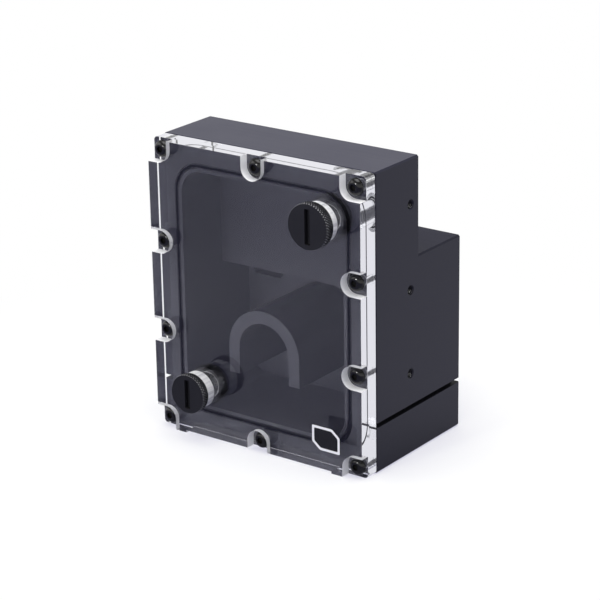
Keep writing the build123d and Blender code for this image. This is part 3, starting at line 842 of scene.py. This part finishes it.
def roundedCopy(node, spec):
    mesh = nodes[node].data.copy()
    mesh.name = node + "_rounded"
    mesh.materials.clear()
    mesh.materials.append(finishes[spec["slot"]])
    isCover = node == "front_cover"
    if isCover:
        mesh.materials.append(milled)
    work = bmesh.new()
    work.from_mesh(mesh)
    bmesh.ops.remove_doubles(work, verts=work.verts, dist=1e-6)
    if isCover:
        flat = math.radians(0.5)
        bmesh.ops.dissolve_limit(work, angle_limit=flat, verts=work.verts, edges=work.edges)
    for face in work.faces:
        face.smooth = True
        face.material_index = int(isCover and isPocketWall(face, pocketWall))
    for edge in work.edges:
        edge.smooth = len(edge.link_faces) != 2 or edge.calc_face_angle() < roundAngle
    work.to_mesh(mesh)
    work.free()
    piece = bpy.data.objects.new(node + "_rounded", mesh)
    bpy.context.scene.collection.objects.link(piece)
    bevel = piece.modifiers.new("round", "BEVEL")
    bevel.width, bevel.segments = spec["width"] * mm, 2
    bevel.limit_method, bevel.angle_limit = "ANGLE", roundAngle
    bevel.use_clamp_overlap = False
    bevel.harden_normals = True
    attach(piece, "body")
    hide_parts(node)
    return piece


for nodeName, roundSpec in rounded.items():
    roundedCopy(nodeName, roundSpec)
print("machined edges rounded")


# Floor, light and background. What is seen is what the camera sees, also through the cover, and
# the rest is what the object mirrors and what lights it.
stage = {
    "size": 6.0,
    "drop": 0.0002,
    "white": 1.0,
    "near": 0.1,  # from here the floor turns white
    "far": 0.26,
    "seenFloor": (0.46, 0.465, 0.36),
    "seenGlow": (0.46, 0.455, 0.59),
    "behindMirror": 0.55,  # how much less of it is seen after a reflection
    "frontFloor": (0.14, 0.14, 0.24),
    "rearFloor": (0.36, 0.36, 0.42),
    "rearGlow": (0.13, 0.13, 0.15),
    "frontToRear": (-0.1, 0.03),
    "horizonGlow": (0.75, 0.75, 0.77),
    "horizon": (0.6, 2.5),
    "ambient": 0.8,
    "wallTop": (0.45, 0.6),
    "ceiling": 0.75,  # how much darker the ceiling is in reflections
}


def makeFloor(spec):
    half = spec["size"] / 2
    corners = [(-half, -half, 0), (half, -half, 0), (half, half, 0), (-half, half, 0)]
    mesh = bpy.data.meshes.new("floor")
    mesh.from_pydata(corners, [], [(0, 1, 2, 3)])
    floor = bpy.data.objects.new("floor", mesh)
    bpy.context.scene.collection.objects.link(floor)
    floor.location.z = -spec["drop"]
    material, g = newMaterial("floor")
    mesh.materials.append(material)
    # the lit floor with its shadow near the object, and white for the camera far away
    place = g.coordinate("Object")
    away = g.vectorMaths("LENGTH", place)
    mirrored = g.ray("Glossy Depth").above(0.5)
    through = g.ray("Is Transmission Ray") * (1.0 - mirrored * spec["behindMirror"])
    seen = g.ray("Is Camera Ray") + through
    toRear = g.ramp(g.along(place, "Y"), *spec["frontToRear"])
    toHorizon = g.ramp(away, *spec["horizon"])
    colour = g.between(toRear, spec["frontFloor"], spec["rearFloor"])
    colour = g.between(seen, colour, spec["seenFloor"])
    glow = g.between(toRear, (0, 0, 0), spec["rearGlow"])
    glow = g.between(seen, g.between(toHorizon, glow, spec["horizonGlow"]), spec["seenGlow"])
    lit = g.node("ShaderNodeBsdfDiffuse", None, {"Color": colour})
    near = g.node("ShaderNodeAddShader", None, {0: lit, 1: g.glow({"Color": glow})})
    white = g.glow({"Strength": spec["white"]})
    g.surface(g.mixed(g.ramp(away, spec["near"], spec["far"]) * seen, near, white))


def makeWorld(spec):
    world = bpy.data.worlds.new("studio")
    world.use_nodes = True
    bpy.context.scene.world = world
    g = Graph(world.node_tree)
    glossy = g.ray("Is Glossy Ray")
    direct = (g.ray("Is Camera Ray") + glossy + g.ray("Is Transmission Ray")).atMost(1.0)
    toCeiling = g.ramp(g.along(g.coordinate("Generated"), "Z"), *spec["wallTop"])
    strength = direct * (spec["white"] - spec["ambient"]) + spec["ambient"]
    strength = strength - toCeiling * glossy * spec["ceiling"]
    sockets = {"Color": (1, 1, 1, 1), "Strength": strength}
    shader = g.node("ShaderNodeBackground", None, sockets)
    g.node("ShaderNodeOutputWorld", None, {"Surface": shader})


lamps = {
    "top": {"place": (0.05, -0.03, 1.1), "size": 0.9, "power": 8.0},
    "front": {"place": (-0.15, -0.9, 0.33), "size": 0.1, "power": 2.4},
    "left": {"place": (-1.0, -0.8, 0.7), "size": 0.9, "power": 3.0},
}
lampAim = (0, 0, 0.06)


def makeLamp(name, spec):
    light = bpy.data.lights.new(name, "AREA")
    light.size, light.energy = spec["size"], spec["power"]
    holder = bpy.data.objects.new(name, light)
    bpy.context.scene.collection.objects.link(holder)
    place = Vector(spec["place"])
    aim = (Vector(lampAim) - place).to_track_quat("-Z", "Y").to_matrix().to_4x4()
    holder.matrix_world = Matrix.Translation(place) @ aim
    holder.visible_transmission = False


makeFloor(stage)
makeWorld(stage)
for lampName, lampSpec in lamps.items():
    makeLamp(lampName, lampSpec)
print("stage and lights made")


bpy.context.scene.view_settings.view_transform = "Standard"
